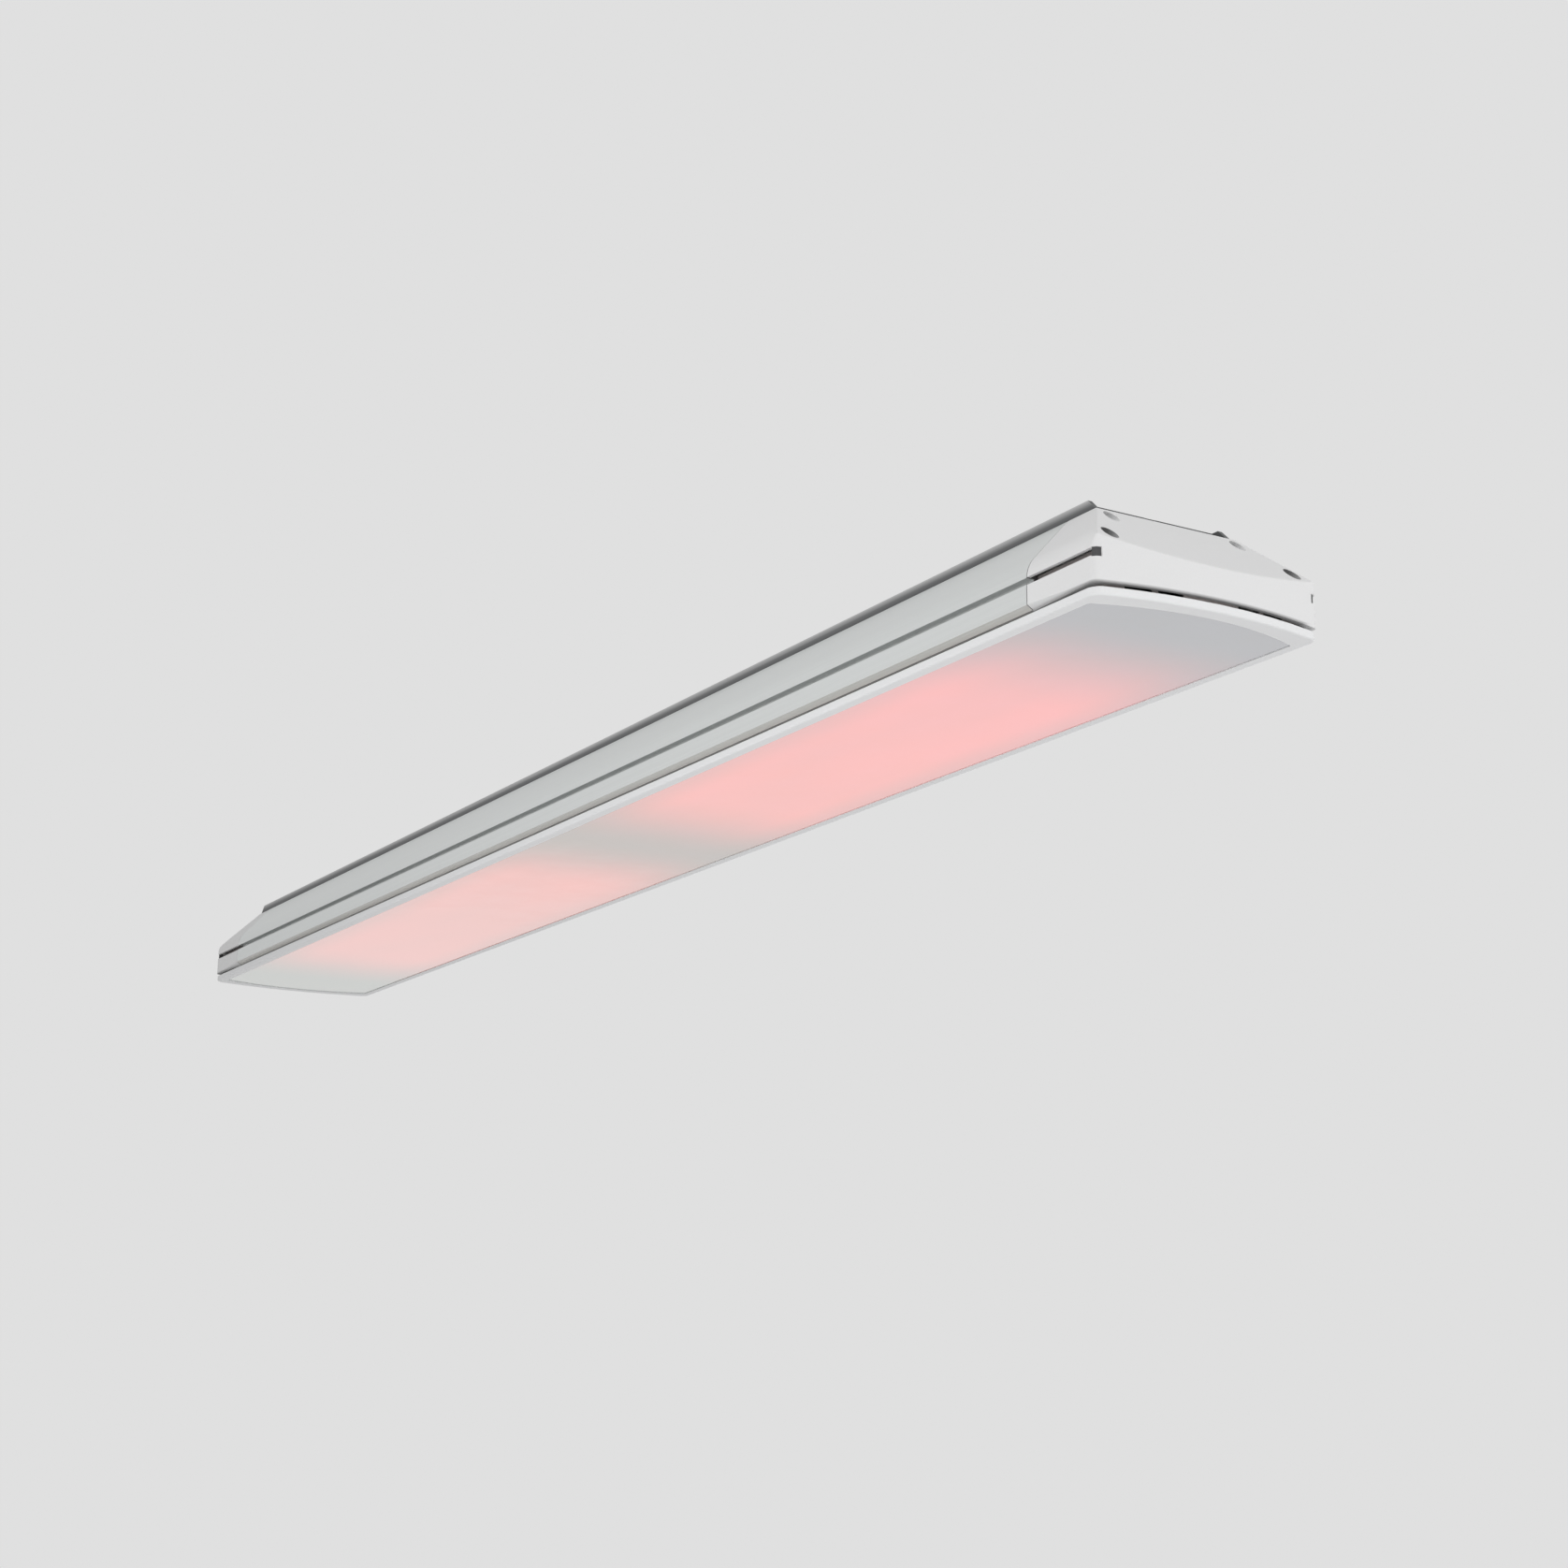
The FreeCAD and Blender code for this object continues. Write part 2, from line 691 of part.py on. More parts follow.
def lead_notch(end, y):
    """Cut in the heat shield where a lead bends over it, beside an outer ceramic."""
    clear = lead_radius + lead_hole_clearance
    x0, x1 = sorted((end * (lead_drop_x + clear), end * (lead_drop_x - lead_bend)))
    return block(x0, x1, y - clear, y + clear, h_shield, h_electrics)


def heat_shield():
    """Flat sheet on the bulkheads' flanges, with holes for screws and leads."""
    reach = tube_outer_x + shield_overhang
    plate = block(-reach, reach, -shield_y, shield_y, h_shield, h_electrics)
    hole_radius = shield_screw_radius + fit_gap
    removed = [upright(hole_radius, x, y, h_shield, h_electrics) for x, y in shield_screw_places()]
    removed += [lead_notch(-1, 0), lead_notch(1, return_lead_y)]
    removed.append(upright(earth_screw_radius + fit_gap, earth_x, earth_lead_y, h_shield, h_electrics))
    return plate.cut(removed)


def shield_screw(x, y):
    head = upright(shield_screw_head_radius, x, y, h_electrics, h_electrics + shield_screw_head_height)
    shank = upright(shield_screw_radius, x, y, h_electrics - shield_screw_depth, h_electrics)
    return head.fuse(shank).removeSplitter()


def terminal_places():
    rows = (terminal_x - terminal_length / 4, terminal_x + terminal_length / 4)
    return [(x, k * terminal_pole_pitch) for x in rows for k in (-1, 0, 1)]


def terminal_block():
    """Three-pole block on the heat shield, with open wells over its screws."""
    y = terminal_width / 2
    body = block(terminal_left, terminal_right, -y, y, h_electrics, h_terminal)
    half = terminal_pole_width / 2
    h_well = h_terminal - terminal_pole_depth
    return body.cut([block(x - half, x + half, y - half, y + half, h_well, h_terminal)
                     for x, y in terminal_places()])


def terminal_screw(x, y):
    floor = h_terminal - terminal_pole_depth
    return upright(terminal_screw_radius, x, y, floor, floor + terminal_screw_height)


def thermal_cutout():
    """Bimetal switch in a flat case on the heat shield."""
    y0 = return_lead_y - cutout_width / 2
    h_case = h_electrics + cutout_height
    case = block(cutout_left, cutout_right, y0, y0 + cutout_width, h_electrics, h_case)
    disc = upright(cutout_disc_radius, cutout_x, return_lead_y, h_case, h_case + cutout_disc_height)
    return case.fuse(disc).removeSplitter()


def earth_screw():
    head = hexagon(earth_head_flats, point(earth_x, earth_lead_y, h_electrics),
                   point(earth_x, earth_lead_y, h_electrics + earth_head_height))
    shank = upright(earth_screw_radius, earth_x, earth_lead_y, h_electrics - earth_screw_depth, h_electrics)
    return head.fuse(shank).removeSplitter()


def end_lead(end, far_x, y):
    """Lead from an outer ceramic, up past the heat shield and back along it to far_x."""
    x_start = end * ceramic_end_x
    x_drop = end * lead_drop_x
    x_bend = end * (lead_drop_x - lead_bend)
    cut = lead_bend * (1 - sqrt(0.5))
    x_cut = end * (lead_drop_x - cut)
    edges = [
        Part.LineSegment(point(x_start, y, h_tube), point(x_bend, y, h_tube)),
        Part.Arc(point(x_bend, y, h_tube), point(x_cut, y, h_tube + cut),
                 point(x_drop, y, h_tube + lead_bend)),
        Part.LineSegment(point(x_drop, y, h_tube + lead_bend), point(x_drop, y, h_lead - lead_bend)),
        Part.Arc(point(x_drop, y, h_lead - lead_bend), point(x_cut, y, h_lead - cut),
                 point(x_bend, y, h_lead)),
        Part.LineSegment(point(x_bend, y, h_lead), point(far_x, y, h_lead)),
    ]
    path = Part.Wire([e.toShape() for e in edges])
    section = Part.Wire(Part.Circle(point(x_start, y, h_tube), Vector(end, 0, 0), lead_radius).toShape())
    return path.makePipeShell([section], True, False)


# Middle of the left cap's slope, and the direction out of it
gland_seat = point(-(apex_x + slope_top_x) / 2, 0, (h_crown + h_end_wall) / 2)
gland_way = Vector(h_end_wall - h_crown, 0, apex_x - slope_top_x).normalize()


def along_gland(radius, start, end):
    """Round bar on the gland's axis, between two distances out of the slope."""
    return rod(radius, gland_seat + gland_way * start, gland_seat + gland_way * end)


def gland_hexagon(flats, start, end):
    return hexagon(flats, gland_seat + gland_way * start, gland_seat + gland_way * end)


def cable_gland():
    """Gland body: hexagonal flange on the slope, thread through the wall, stub for the nut."""
    tail = -cap_wall - locknut_thickness - gland_tail
    tip = gland_flange + gland_stub
    flange = gland_hexagon(gland_flange_flats, 0, gland_flange)
    thread = along_gland(gland_thread_radius, tail, 0)
    stub = along_gland(gland_stub_radius, gland_flange, tip)
    return flange.fuse([thread, stub]).cut(along_gland(gland_bore_radius, tail, tip)).removeSplitter()


def gland_nut():
    """Compression nut over the gland's stub, drawn in towards its mouth."""
    top = gland_flange + gland_nut_height
    body = gland_hexagon(gland_nut_flats, gland_flange, top)
    dome = Part.makeCone(gland_nut_flats / 2 + gland_nut_height, gland_nut_flats / 2 - gland_nut_draw,
                         gland_nut_height, gland_seat + gland_way * gland_flange, gland_way)
    hollow_top = gland_flange + gland_stub + gland_clearance
    hollow = along_gland(gland_stub_radius + gland_clearance, gland_flange, hollow_top)
    return body.common(dome).cut([hollow, along_gland(gland_bore_radius, gland_flange, top)])


def gland_locknut():
    start = -cap_wall - locknut_thickness
    body = gland_hexagon(gland_flange_flats, start, -cap_wall)
    return body.cut(along_gland(gland_thread_radius + gland_clearance, start, -cap_wall))


def mounting_rail():
    """Flat dark rail on the crown: an undercut slot for the slot nuts, notched ends and sloping prongs."""
    body = block(-rail_end_x, rail_end_x, -rail_half_width, rail_half_width, h_crown, total_height)
    edges = [e for e in body.Edges if e.BoundBox.XLength > rail_end_x and e.BoundBox.ZMin > -fit_gap]
    body = body.makeFillet(rail_edge_fillet, edges)
    h_floor = h_crown + slot_floor
    slot_y = slot_width / 2
    mouth_y = slot_mouth_width / 2
    removed = [
        block(-rail_end_x, rail_end_x, -slot_y, slot_y, h_floor, total_height - slot_lip),
        block(-rail_end_x, rail_end_x, -mouth_y, mouth_y, h_floor, total_height),
    ]
    notch = block(rail_notch_x, rail_end_x, -rail_notch_y, rail_notch_y, h_crown, total_height)
    slope = [(rail_end_x, h_crown), (rail_end_x, total_height), (rail_end_x - rail_end_slope, total_height)]
    corners = [point(x, -rail_half_width, h) for x, h in slope]
    wedge = Part.Face(Part.makePolygon(corners + corners[:1])).extrude(Vector(0, 2 * rail_half_width, 0))
    removed += [notch, left_of(notch), wedge, left_of(wedge)]
    h_thread = h_crown + rail_screw_depth + fit_gap
    removed += [upright(rail_screw_radius + fit_gap, x, y, h_crown, h_thread) for x, y in rail_screw_places()]
    return body.cut(removed)


def rail_screw_places():
    stations = spread(rail_screw_count, rail_end_x - rail_screw_end_inset)
    return [(x, side * rail_screw_y) for x in stations for side in (-1, 1)]


def rail_screw(x, y):
    """Screw from inside the housing, up through the crown into the rail."""
    seat = h_crown - crown_wall
    head = upright(rail_screw_head_radius, x, y, seat - rail_screw_head_height, seat)
    shank = upright(rail_screw_radius, x, y, seat, h_crown + rail_screw_depth)
    return head.fuse(shank).removeSplitter()


def slot_filler(x0, x1, clearance, lift, drop):
    """Piece that fits the rail's undercut slot, with its neck in the slot's mouth."""
    h_top = total_height - slot_lip - clearance
    y_foot = slot_width / 2 - clearance
    y_neck = slot_mouth_width / 2 - clearance
    foot = block(x0, x1, -y_foot, y_foot, h_crown + slot_floor + lift, h_top)
    neck = block(x0, x1, -y_neck, y_neck, h_top, total_height - drop)
    return foot.fuse(neck).removeSplitter()


def slot_nut(x):
    body = slot_filler(x - nut_length / 2, x + nut_length / 2, nut_clearance, nut_clearance, nut_neck_drop)
    return body.cut(upright(nut_thread_radius, x, 0, h_crown, total_height))


# Housing
save("housing_profile", housing_profile())
right_cap = end_cap()
save("end_cap_right", right_cap)
gland_hole = along_gland(gland_thread_radius + gland_clearance, -2 * cap_wall, cap_wall)
save("end_cap_left", left_of(right_cap).cut(gland_hole))
gasket = cap_gasket()
save("cap_gaskets", gasket, left_of(gasket))
stops = [groove_stop(side) for side in (-1, 1)]
save("groove_stops", *stops, *[left_of(s) for s in stops])
right_cap_screws = [cap_screw(y, h) for y, h in ports]
save("end_cap_screws", *right_cap_screws, *[left_of(s) for s in right_cap_screws])

# Front
save("front_frame", front_frame())
save("glass_panel", glass_plate(0, h_glass, h_seal))
save("glass_seal", glass_seal())
save("inner_tray", inner_tray())
save("frame_rivets", *[frame_rivet(x, y) for x, y in rivet_places()])
save("tray_screws", *[tray_screw(x, side) for x in tray_screw_stations for side in (-1, 1)])

# Heating elements
for name, (x, outward) in bulkhead_stations.items():
    save(name, bulkhead(x, outward))
save("tube_ceramics", *[ceramic(x, outward) for x, outward in bulkhead_stations.values()])
element_pieces = {
    "reflector": reflector(),
    "heating_tube": heating_tube(),
    "heating_filament": heating_filament(),
}
for name, piece in element_pieces.items():
    save(name + "_right", piece)
    save(name + "_left", left_of(piece))

# Electrics
save("heat_shield", heat_shield())
save("shield_screws", *[shield_screw(x, y) for x, y in shield_screw_places()])
save("terminal_block", terminal_block())
save("terminal_screws", *[terminal_screw(x, y) for x, y in terminal_places()])
save("thermal_cutout", thermal_cutout())
save("earth_screw", earth_screw())
save("supply_lead", end_lead(-1, terminal_left, 0))
save("cutout_lead", lengthwise(lead_radius, terminal_right, cutout_left, return_lead_y, h_lead))
save("return_lead", end_lead(1, cutout_right, return_lead_y))
inner_ceramic = tube_inner_x - bulkhead_sheet - ceramic_back
save("link_lead", lengthwise(lead_radius, -inner_ceramic, inner_ceramic, 0, h_tube))
earth_flat_x = earth_x - earth_head_flats / 2
save("earth_lead", lengthwise(lead_radius, terminal_right, earth_flat_x, earth_lead_y, h_lead))

# Cable entry
save("cable_gland", cable_gland())
save("gland_nut", gland_nut())
save("gland_locknut", gland_locknut())

# Ceiling side
save("mounting_rail", mounting_rail())
save("rail_screws", *[rail_screw(x, y) for x, y in rail_screw_places()])
plug = slot_filler(rail_notch_x - plug_length, rail_notch_x, plug_clearance, 0, plug_clearance)
save("rail_end_plugs", plug, left_of(plug))
save("slot_nut_left", slot_nut(-nut_rest_x))
save("slot_nut_right", slot_nut(nut_rest_x))
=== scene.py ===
import json
import math

import bpy
from mathutils import Matrix, Vector


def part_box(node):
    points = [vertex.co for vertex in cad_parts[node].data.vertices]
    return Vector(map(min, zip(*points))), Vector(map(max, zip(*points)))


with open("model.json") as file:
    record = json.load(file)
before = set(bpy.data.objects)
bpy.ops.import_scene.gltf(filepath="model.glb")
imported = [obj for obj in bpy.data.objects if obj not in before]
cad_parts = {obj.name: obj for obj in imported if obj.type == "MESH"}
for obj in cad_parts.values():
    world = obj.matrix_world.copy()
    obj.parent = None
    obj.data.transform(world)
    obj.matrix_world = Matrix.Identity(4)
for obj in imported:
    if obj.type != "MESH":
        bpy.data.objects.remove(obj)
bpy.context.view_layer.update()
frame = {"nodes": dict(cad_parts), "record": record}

# Viewing angle of the photograph, in metres and radians
camera_place = Vector((1.8324, -0.9421, -0.5432))
camera_yaw = -1.0294
camera_pitch = 0.2522
camera_roll = 0.0057
camera_lens_mm = 58.99
camera_sensor_mm = 36.0

# Studio: height of the heater above the floor, and levels of light
floor_drop = 3.0
floor_reach = 30.0
floor_grey = 0.85
floor_grey_swing = 0.01
background_grey = 0.745
mirrored_floor = 1.2
sky_level = 0.55

# Softboxes: place, target and side in metres, and power in watts
softboxes = {
    "end_softbox": ((2.5, 1.2, -0.5), (0.74, 0.0, -0.04), 1.4, 19.2),
    "side_softbox": ((0.42, -0.95, -0.45), (0.42, 0.0, -0.04), 0.9, 4.3),
    "upper_softbox": ((1.92, -0.72, 0.77), (0.72, 0.0, -0.04), 1.2, 7.2),
    "under_softbox": ((1.4, -0.5, -1.5), (0.72, 0.0, -0.04), 1.2, 4.0),
}

# Grains of the surfaces: noise scale per metre, squeeze along each axis and, for soft clouds, their detail
even = (1.0, 1.0, 1.0)
die_lines = (160.0, (0.02, 6.0, 6.0))
rolling_lines = (220.0, (0.05, 4.0, 4.0))
draw_lines = (120.0, (0.02, 4.0, 4.0))
fine_skin = (900.0, even)
cast_skin = (1400.0, even)
moulded_skin = (1600.0, even)
glass_mottle = (30.0, even)
floor_mottle = (3.0, even)
glow_clouds = (14.0, (0.35, 1.0, 1.0), 2.0)
# Soft patches of the tray's painted glow
tray_glow_patches = (18.0, (0.4, 1.0, 1.0), 4.0)

# Depths of relief, in metres
die_line_depth = 0.000012
line_depth = 0.00001
skin_depth = 0.00002

# Painted glow on the glass, standing in for the light of the tubes behind it, as distances from the dark
# middle between its two zones and from the middle of its ends
glow_middle = 0.045
glow_centre_dark = 0.0
glow_centre_full = 0.17
glow_ends_middle = 0.015
glow_end_full = 0.515
glow_end_dark = 0.695
glow_face_depth = 0.001
glow_edge_full = 0.045
glow_edge_faint = 0.078
glow_edge_share = 0.72
glow_cloud_low = 0.94
glow_cloud_high = 1.06
glow_strength_near = 0.565
glow_strength_far = 0.435
glow_strength_reach = 0.3
glow_rest = 0.08
glow_colour = (1.0, 0.02, 0.0, 1.0)

# Colour of the glass along the heater, from the far end to the near one: its milky body colour with painted
# reflection, paler at the far end and bluer at the near one
tint_reach = 0.72
tint_swing = 0.05
tint_far_stop = 0.3
glass_far_tint_and_reflection = (0.445, 0.475, 0.44)
glass_middle_tint = (0.417, 0.404, 0.366)
glass_near_tint_and_reflection = (0.43, 0.435, 0.46)

# Colours that run with a grain or along a piece, as pairs of position and colour
# Rail: dark colour with painted shade, darkest at the lower edge of its long sides and paler towards the
# upper edge
rail_tones_and_painted_shade = ((0.2, (0.09, 0.093, 0.095)), (0.45, (0.13, 0.133, 0.135)), (0.95, (0.48, 0.48, 0.48)))
# Tray: painted red glow of the tubes in the gap
tray_painted_glow_tones = ((0.3, (0.75, 0.68, 0.665)), (0.7, (0.88, 0.81, 0.795)))
quartz_tones = ((0.3, (0.93, 0.92, 0.91)), (0.7, (1.0, 1.0, 1.0)))
earth_lead_bands = ((0.45, (0.05, 0.25, 0.06)), (0.55, (0.75, 0.62, 0.06)))
earth_lead_band_scale = 30.0
earth_lead_band_bend = 0.4

# Surfaces that are darker or paler than the rest of their piece, most of them painted shade and painted
# light: places in the heater's frame, and shares
# Long sides of the rail, which carry its painted shade
rail_side_depth = 0.0005
rail_line_swing = 0.05
# Painted shade inside the housing's groove
groove_level = -0.0511
groove_half_height = 0.0022
groove_skin = 0.0004
groove_painted_shade = 0.8
# Screw recesses of the end caps: painted shade deep in the lower ones
recess_reach = 0.005
lower_recess_across = 0.0687
lower_recess_level = -0.0363
lower_recess_painted_shade = 0.6
# Painted light in the upper screw recesses, making their shade fainter
upper_recess_across = 0.048
upper_recess_level = -0.015
upper_recess_painted_light = 1.18
# Painted shade along the lower edge of the end caps, fading out towards the back where more light falls
# under it
lower_edge_height = 0.002
lower_edge_painted_shade = 0.45
lower_edge_lit_from = 0.06
lower_edge_lit_to = 0.078
# Painted shade on the housing's lower step, in the shadow gap above the frame
lower_step_height = 0.00102
lower_step_painted_shade = 0.22
# Painted light and shade on the housing's lower chamfer: paler at its lower edge, darker just under the
# side
lower_slope_height = 0.0036
lower_slope_painted_light_and_shade = (
    (0.0, (1.2, 1.15, 1.11)),
    (0.5, (0.99, 0.95, 0.915)),
    (0.97, (0.7, 0.675, 0.655)),
    (1.0, (1.0, 1.0, 1.0)),
)
# Painted shade on the tray above its lower edge, deeper inside the housing
tray_pale_to = -0.067
tray_painted_shade_from = -0.06
tray_painted_shade_share = 0.54
seam_low = -0.045
seam_high = -0.02
seam_share = 0.27


def new_material(name):
    """A material with its node tree and its Principled shader."""
    material = bpy.data.materials.new(name)
    material.use_nodes = True
    tree = material.node_tree
    return material, tree, tree.nodes["Principled BSDF"]


def set_sockets(shader, **values):
    """Sets constants on the shader; underscores in the names stand for spaces."""
    for name, value in values.items():
        shader.inputs[name.replace("_", " ")].default_value = value


def place(tree):
    """Coordinates of the surface in the heater's own frame, in metres."""
    return tree.nodes.new("ShaderNodeTexCoord").outputs["Object"]


def axes_of(tree):
    """X, Y and Z of the surface in the heater's own frame."""
    node = tree.nodes.new("ShaderNodeSeparateXYZ")
    tree.links.new(place(tree), node.inputs["Vector"])
    return node.outputs


def grain(tree, scale, stretch, detail=3.0):
    """Noise between 0 and 1, with a size of about 1 / scale metres, squeezed along each axis by stretch."""
    mapping = tree.nodes.new("ShaderNodeMapping")
    mapping.inputs["Scale"].default_value = stretch
    noise = tree.nodes.new("ShaderNodeTexNoise")
    noise.inputs["Scale"].default_value = scale
    noise.inputs["Detail"].default_value = detail
    tree.links.new(place(tree), mapping.inputs["Vector"])
    tree.links.new(mapping.outputs["Vector"], noise.inputs["Vector"])
    return noise.outputs[0]


def ramp(tree, factor, stops):
    """Colours by a factor: stops are pairs of position and colour."""
    node = tree.nodes.new("ShaderNodeValToRGB")
    elements = node.color_ramp.elements
    while len(elements) < len(stops):
        elements.new(1.0)
    for element, (position, colour) in zip(elements, stops):
        element.position = position
        element.color = (*colour, 1.0)
    tree.links.new(factor, node.inputs["Fac"])
    return node.outputs["Color"]


def spread_value(tree, factor, low, high, to_low, to_high, smooth=False):
    """A factor from low to high carried over to the range from to_low to to_high."""
    node = tree.nodes.new("ShaderNodeMapRange")
    node.interpolation_type = "SMOOTHSTEP" if smooth else "LINEAR"
    for socket, value in zip(("From Min", "From Max", "To Min", "To Max"), (low, high, to_low, to_high)):
        node.inputs[socket].default_value = value
    tree.links.new(factor, node.inputs["Value"])
    return node.outputs["Result"]


def combine(tree, operation, first, second):
    """One math operation on two linked values, or on a linked value and a number."""
    node = tree.nodes.new("ShaderNodeMath")
    node.operation = operation
    for socket, value in zip(node.inputs, (first, second)):
        if isinstance(value, (int, float)):
            socket.default_value = value
        else:
            tree.links.new(value, socket)
    return node.outputs["Value"]


def product(tree, first, *others):
    """Product of linked values."""
    for other in others:
        first = combine(tree, "MULTIPLY", first, other)
    return first


def distance(tree, value, centre=0.0):
    """Distance of a linked value from a centre."""
    return combine(tree, "ABSOLUTE", combine(tree, "SUBTRACT", value, centre), 0.0)


def share_inside(tree, inside, share):
    """The share where inside is 1, and 1 elsewhere."""
    return spread_value(tree, inside, 0.0, 1.0, 1.0, share)


def bump(tree, shader, height, depth):
    """Relief of the given depth in metres."""
    node = tree.nodes.new("ShaderNodeBump")
    node.inputs["Strength"].default_value = 1.0
    node.inputs["Distance"].default_value = depth
    tree.links.new(height, node.inputs["Height"])
    tree.links.new(node.outputs["Normal"], shader.inputs["Normal"])


def shade(colour, share):
    """A colour made darker or lighter by a share of itself."""
    return tuple(min(1.0, channel * share) for channel in colour)


def grained(name, colour, texture, variation, roughness, roughness_swing, depth, **constants):
    """A surface whose colour, gloss and relief follow one grain."""
    material, tree, shader = new_material(name)
    set_sockets(shader, **constants)
    noise = grain(tree, *texture)
    stops = ((0.25, shade(colour, 1.0 - variation)), (0.75, shade(colour, 1.0 + variation)))
    tree.links.new(ramp(tree, noise, stops), shader.inputs["Base Color"])
    rough = spread_value(tree, noise, 0.2, 0.8, roughness - roughness_swing, roughness + roughness_swing)
    tree.links.new(rough, shader.inputs["Roughness"])
    bump(tree, shader, noise, depth)
    return material


def tone(material, share):
    """Multiplies the colour of a material by a linked share or colour."""
    tree = material.node_tree
    socket = tree.nodes["Principled BSDF"].inputs["Base Color"]
    node = tree.nodes.new("ShaderNodeVectorMath")
    node.operation = "MULTIPLY"
    tree.links.new(socket.links[0].from_socket, node.inputs[0])
    tree.links.new(share, node.inputs[1])
    tree.links.new(node.outputs["Vector"], socket)


def anodised_housing():
    """Matt anodised extrusion with fine die lines, with painted shade inside its grooves and under its
    lower step, and painted light and shade along the chamfer of its lower edges.
    """
    material = grained("anodised_housing", (0.71, 0.73, 0.725), die_lines, variation=0.03, roughness=0.42,
                       roughness_swing=0.06, depth=die_line_depth, Metallic=0.55)
    tree = material.node_tree
    axes = axes_of(tree)
    low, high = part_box("housing_profile")
    # Painted shade inside the groove
    between = combine(tree, "LESS_THAN", distance(tree, axes["Z"], groove_level), groove_half_height)
    under = combine(tree, "LESS_THAN", distance(tree, axes["Y"]), high.y - groove_skin)
    tone(material, share_inside(tree, product(tree, between, under), groove_painted_shade))
    # Painted shade under the lower step
    below = combine(tree, "LESS_THAN", axes["Z"], low.z + lower_step_height)
    tone(material, share_inside(tree, below, lower_step_painted_shade))
    # Painted light and shade along the lower chamfer
    slope = spread_value(tree, axes["Z"], low.z + lower_step_height, low.z + lower_slope_height, 0.0, 1.0)
    tone(material, ramp(tree, slope, lower_slope_painted_light_and_shade))
    return material


def powder_coat(name, colour):
    """Satin powder coat with its fine orange peel."""
    return grained(name, colour, fine_skin, variation=0.012, roughness=0.5, roughness_swing=0.05,
                   depth=skin_depth, Specular_IOR_Level=0.25)


def recess(tree, axes, across, level, share):
    """The share inside the screw recesses at a distance from the middle plane and a level, 1 elsewhere:
    painted shade below 1, painted light above it.
    """
    aside = combine(tree, "SUBTRACT", distance(tree, axes["Y"]), across)
    rise = combine(tree, "SUBTRACT", axes["Z"], level)
    square = combine(tree, "ADD", product(tree, aside, aside), product(tree, rise, rise))
    return share_inside(tree, combine(tree, "LESS_THAN", square, recess_reach ** 2), share)


def coated_cap():
    """Powder coat of the end caps, with painted shade along the lower edge and in the lower screw recesses,
    and painted light in the upper recesses.
    """
    material = powder_coat("powder_coat_caps", (0.735, 0.735, 0.737))
    tree = material.node_tree
    axes = axes_of(tree)
    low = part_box("end_cap_right")[0].z
    # Painted shade along the lower edge, fading out towards the back
    edge = spread_value(tree, axes["Z"], low, low + lower_edge_height, lower_edge_painted_shade, 1.0, smooth=True)
    lit = spread_value(tree, axes["Y"], lower_edge_lit_from, lower_edge_lit_to, 0.0, 1.0, smooth=True)
    tone(material, combine(tree, "MAXIMUM", edge, lit))
    # Painted shade in the lower screw recesses
    tone(material, recess(tree, axes, lower_recess_across, lower_recess_level, lower_recess_painted_shade))
    # Painted light in the upper screw recesses
    tone(material, recess(tree, axes, upper_recess_across, upper_recess_level, upper_recess_painted_light))
    return material


def dark_rail():
    """Dark anodised rail whose dark long sides stand in for the shadow along the heater's top: painted
    shade, darkest at the lower edge and paler towards the upper edge.
    """
    material, tree, shader = new_material("dark_rail")
    low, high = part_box("mounting_rail")
    lines = grain(tree, *die_lines)
    axes = axes_of(tree)
    # Painted shade on the long sides, fading towards the upper edge
    height = spread_value(tree, axes["Z"], low.z, high.z, 0.0, 1.0)
    sides = combine(tree, "GREATER_THAN", distance(tree, axes["Y"]), high.y - rail_side_depth)
    streaks = spread_value(tree, lines, 0.3, 0.7, -rail_line_swing, rail_line_swing)
    mixed = combine(tree, "ADD", product(tree, height, sides), streaks)
    tree.links.new(ramp(tree, mixed, rail_tones_and_painted_shade), shader.inputs["Base Color"])
    tree.links.new(spread_value(tree, lines, 0.2, 0.8, 0.42, 0.58), shader.inputs["Roughness"])
    bump(tree, shader, lines, line_depth)
    set_sockets(shader, Metallic=0.3)
    return material


def glow_strength(tree, axes):
    """Painted glow of the lit face: two long zones, dim between them, at the ends and along the edges."""
    along = distance(tree, axes["X"], glow_middle)
    outwards = distance(tree, axes["X"], glow_ends_middle)
    across = distance(tree, axes["Y"])
    rise = spread_value(tree, along, glow_centre_dark, glow_centre_full, glow_rest, 1.0, smooth=True)
    fall = spread_value(tree, outwards, glow_end_full, glow_end_dark, 1.0, 0.0, smooth=True)
    edge = spread_value(tree, across, glow_edge_full, glow_edge_faint, 1.0, glow_edge_share, smooth=True)
    cloud = spread_value(tree, grain(tree, *glow_clouds), 0.3, 0.7, glow_cloud_low, glow_cloud_high)
    face = combine(tree, "LESS_THAN", axes["Z"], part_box("glass_panel")[0].z + glow_face_depth)
    level = spread_value(tree, axes["X"], -glow_strength_reach, glow_strength_reach,
                         glow_strength_far, glow_strength_near)
    return product(tree, rise, fall, edge, cloud, face, level)


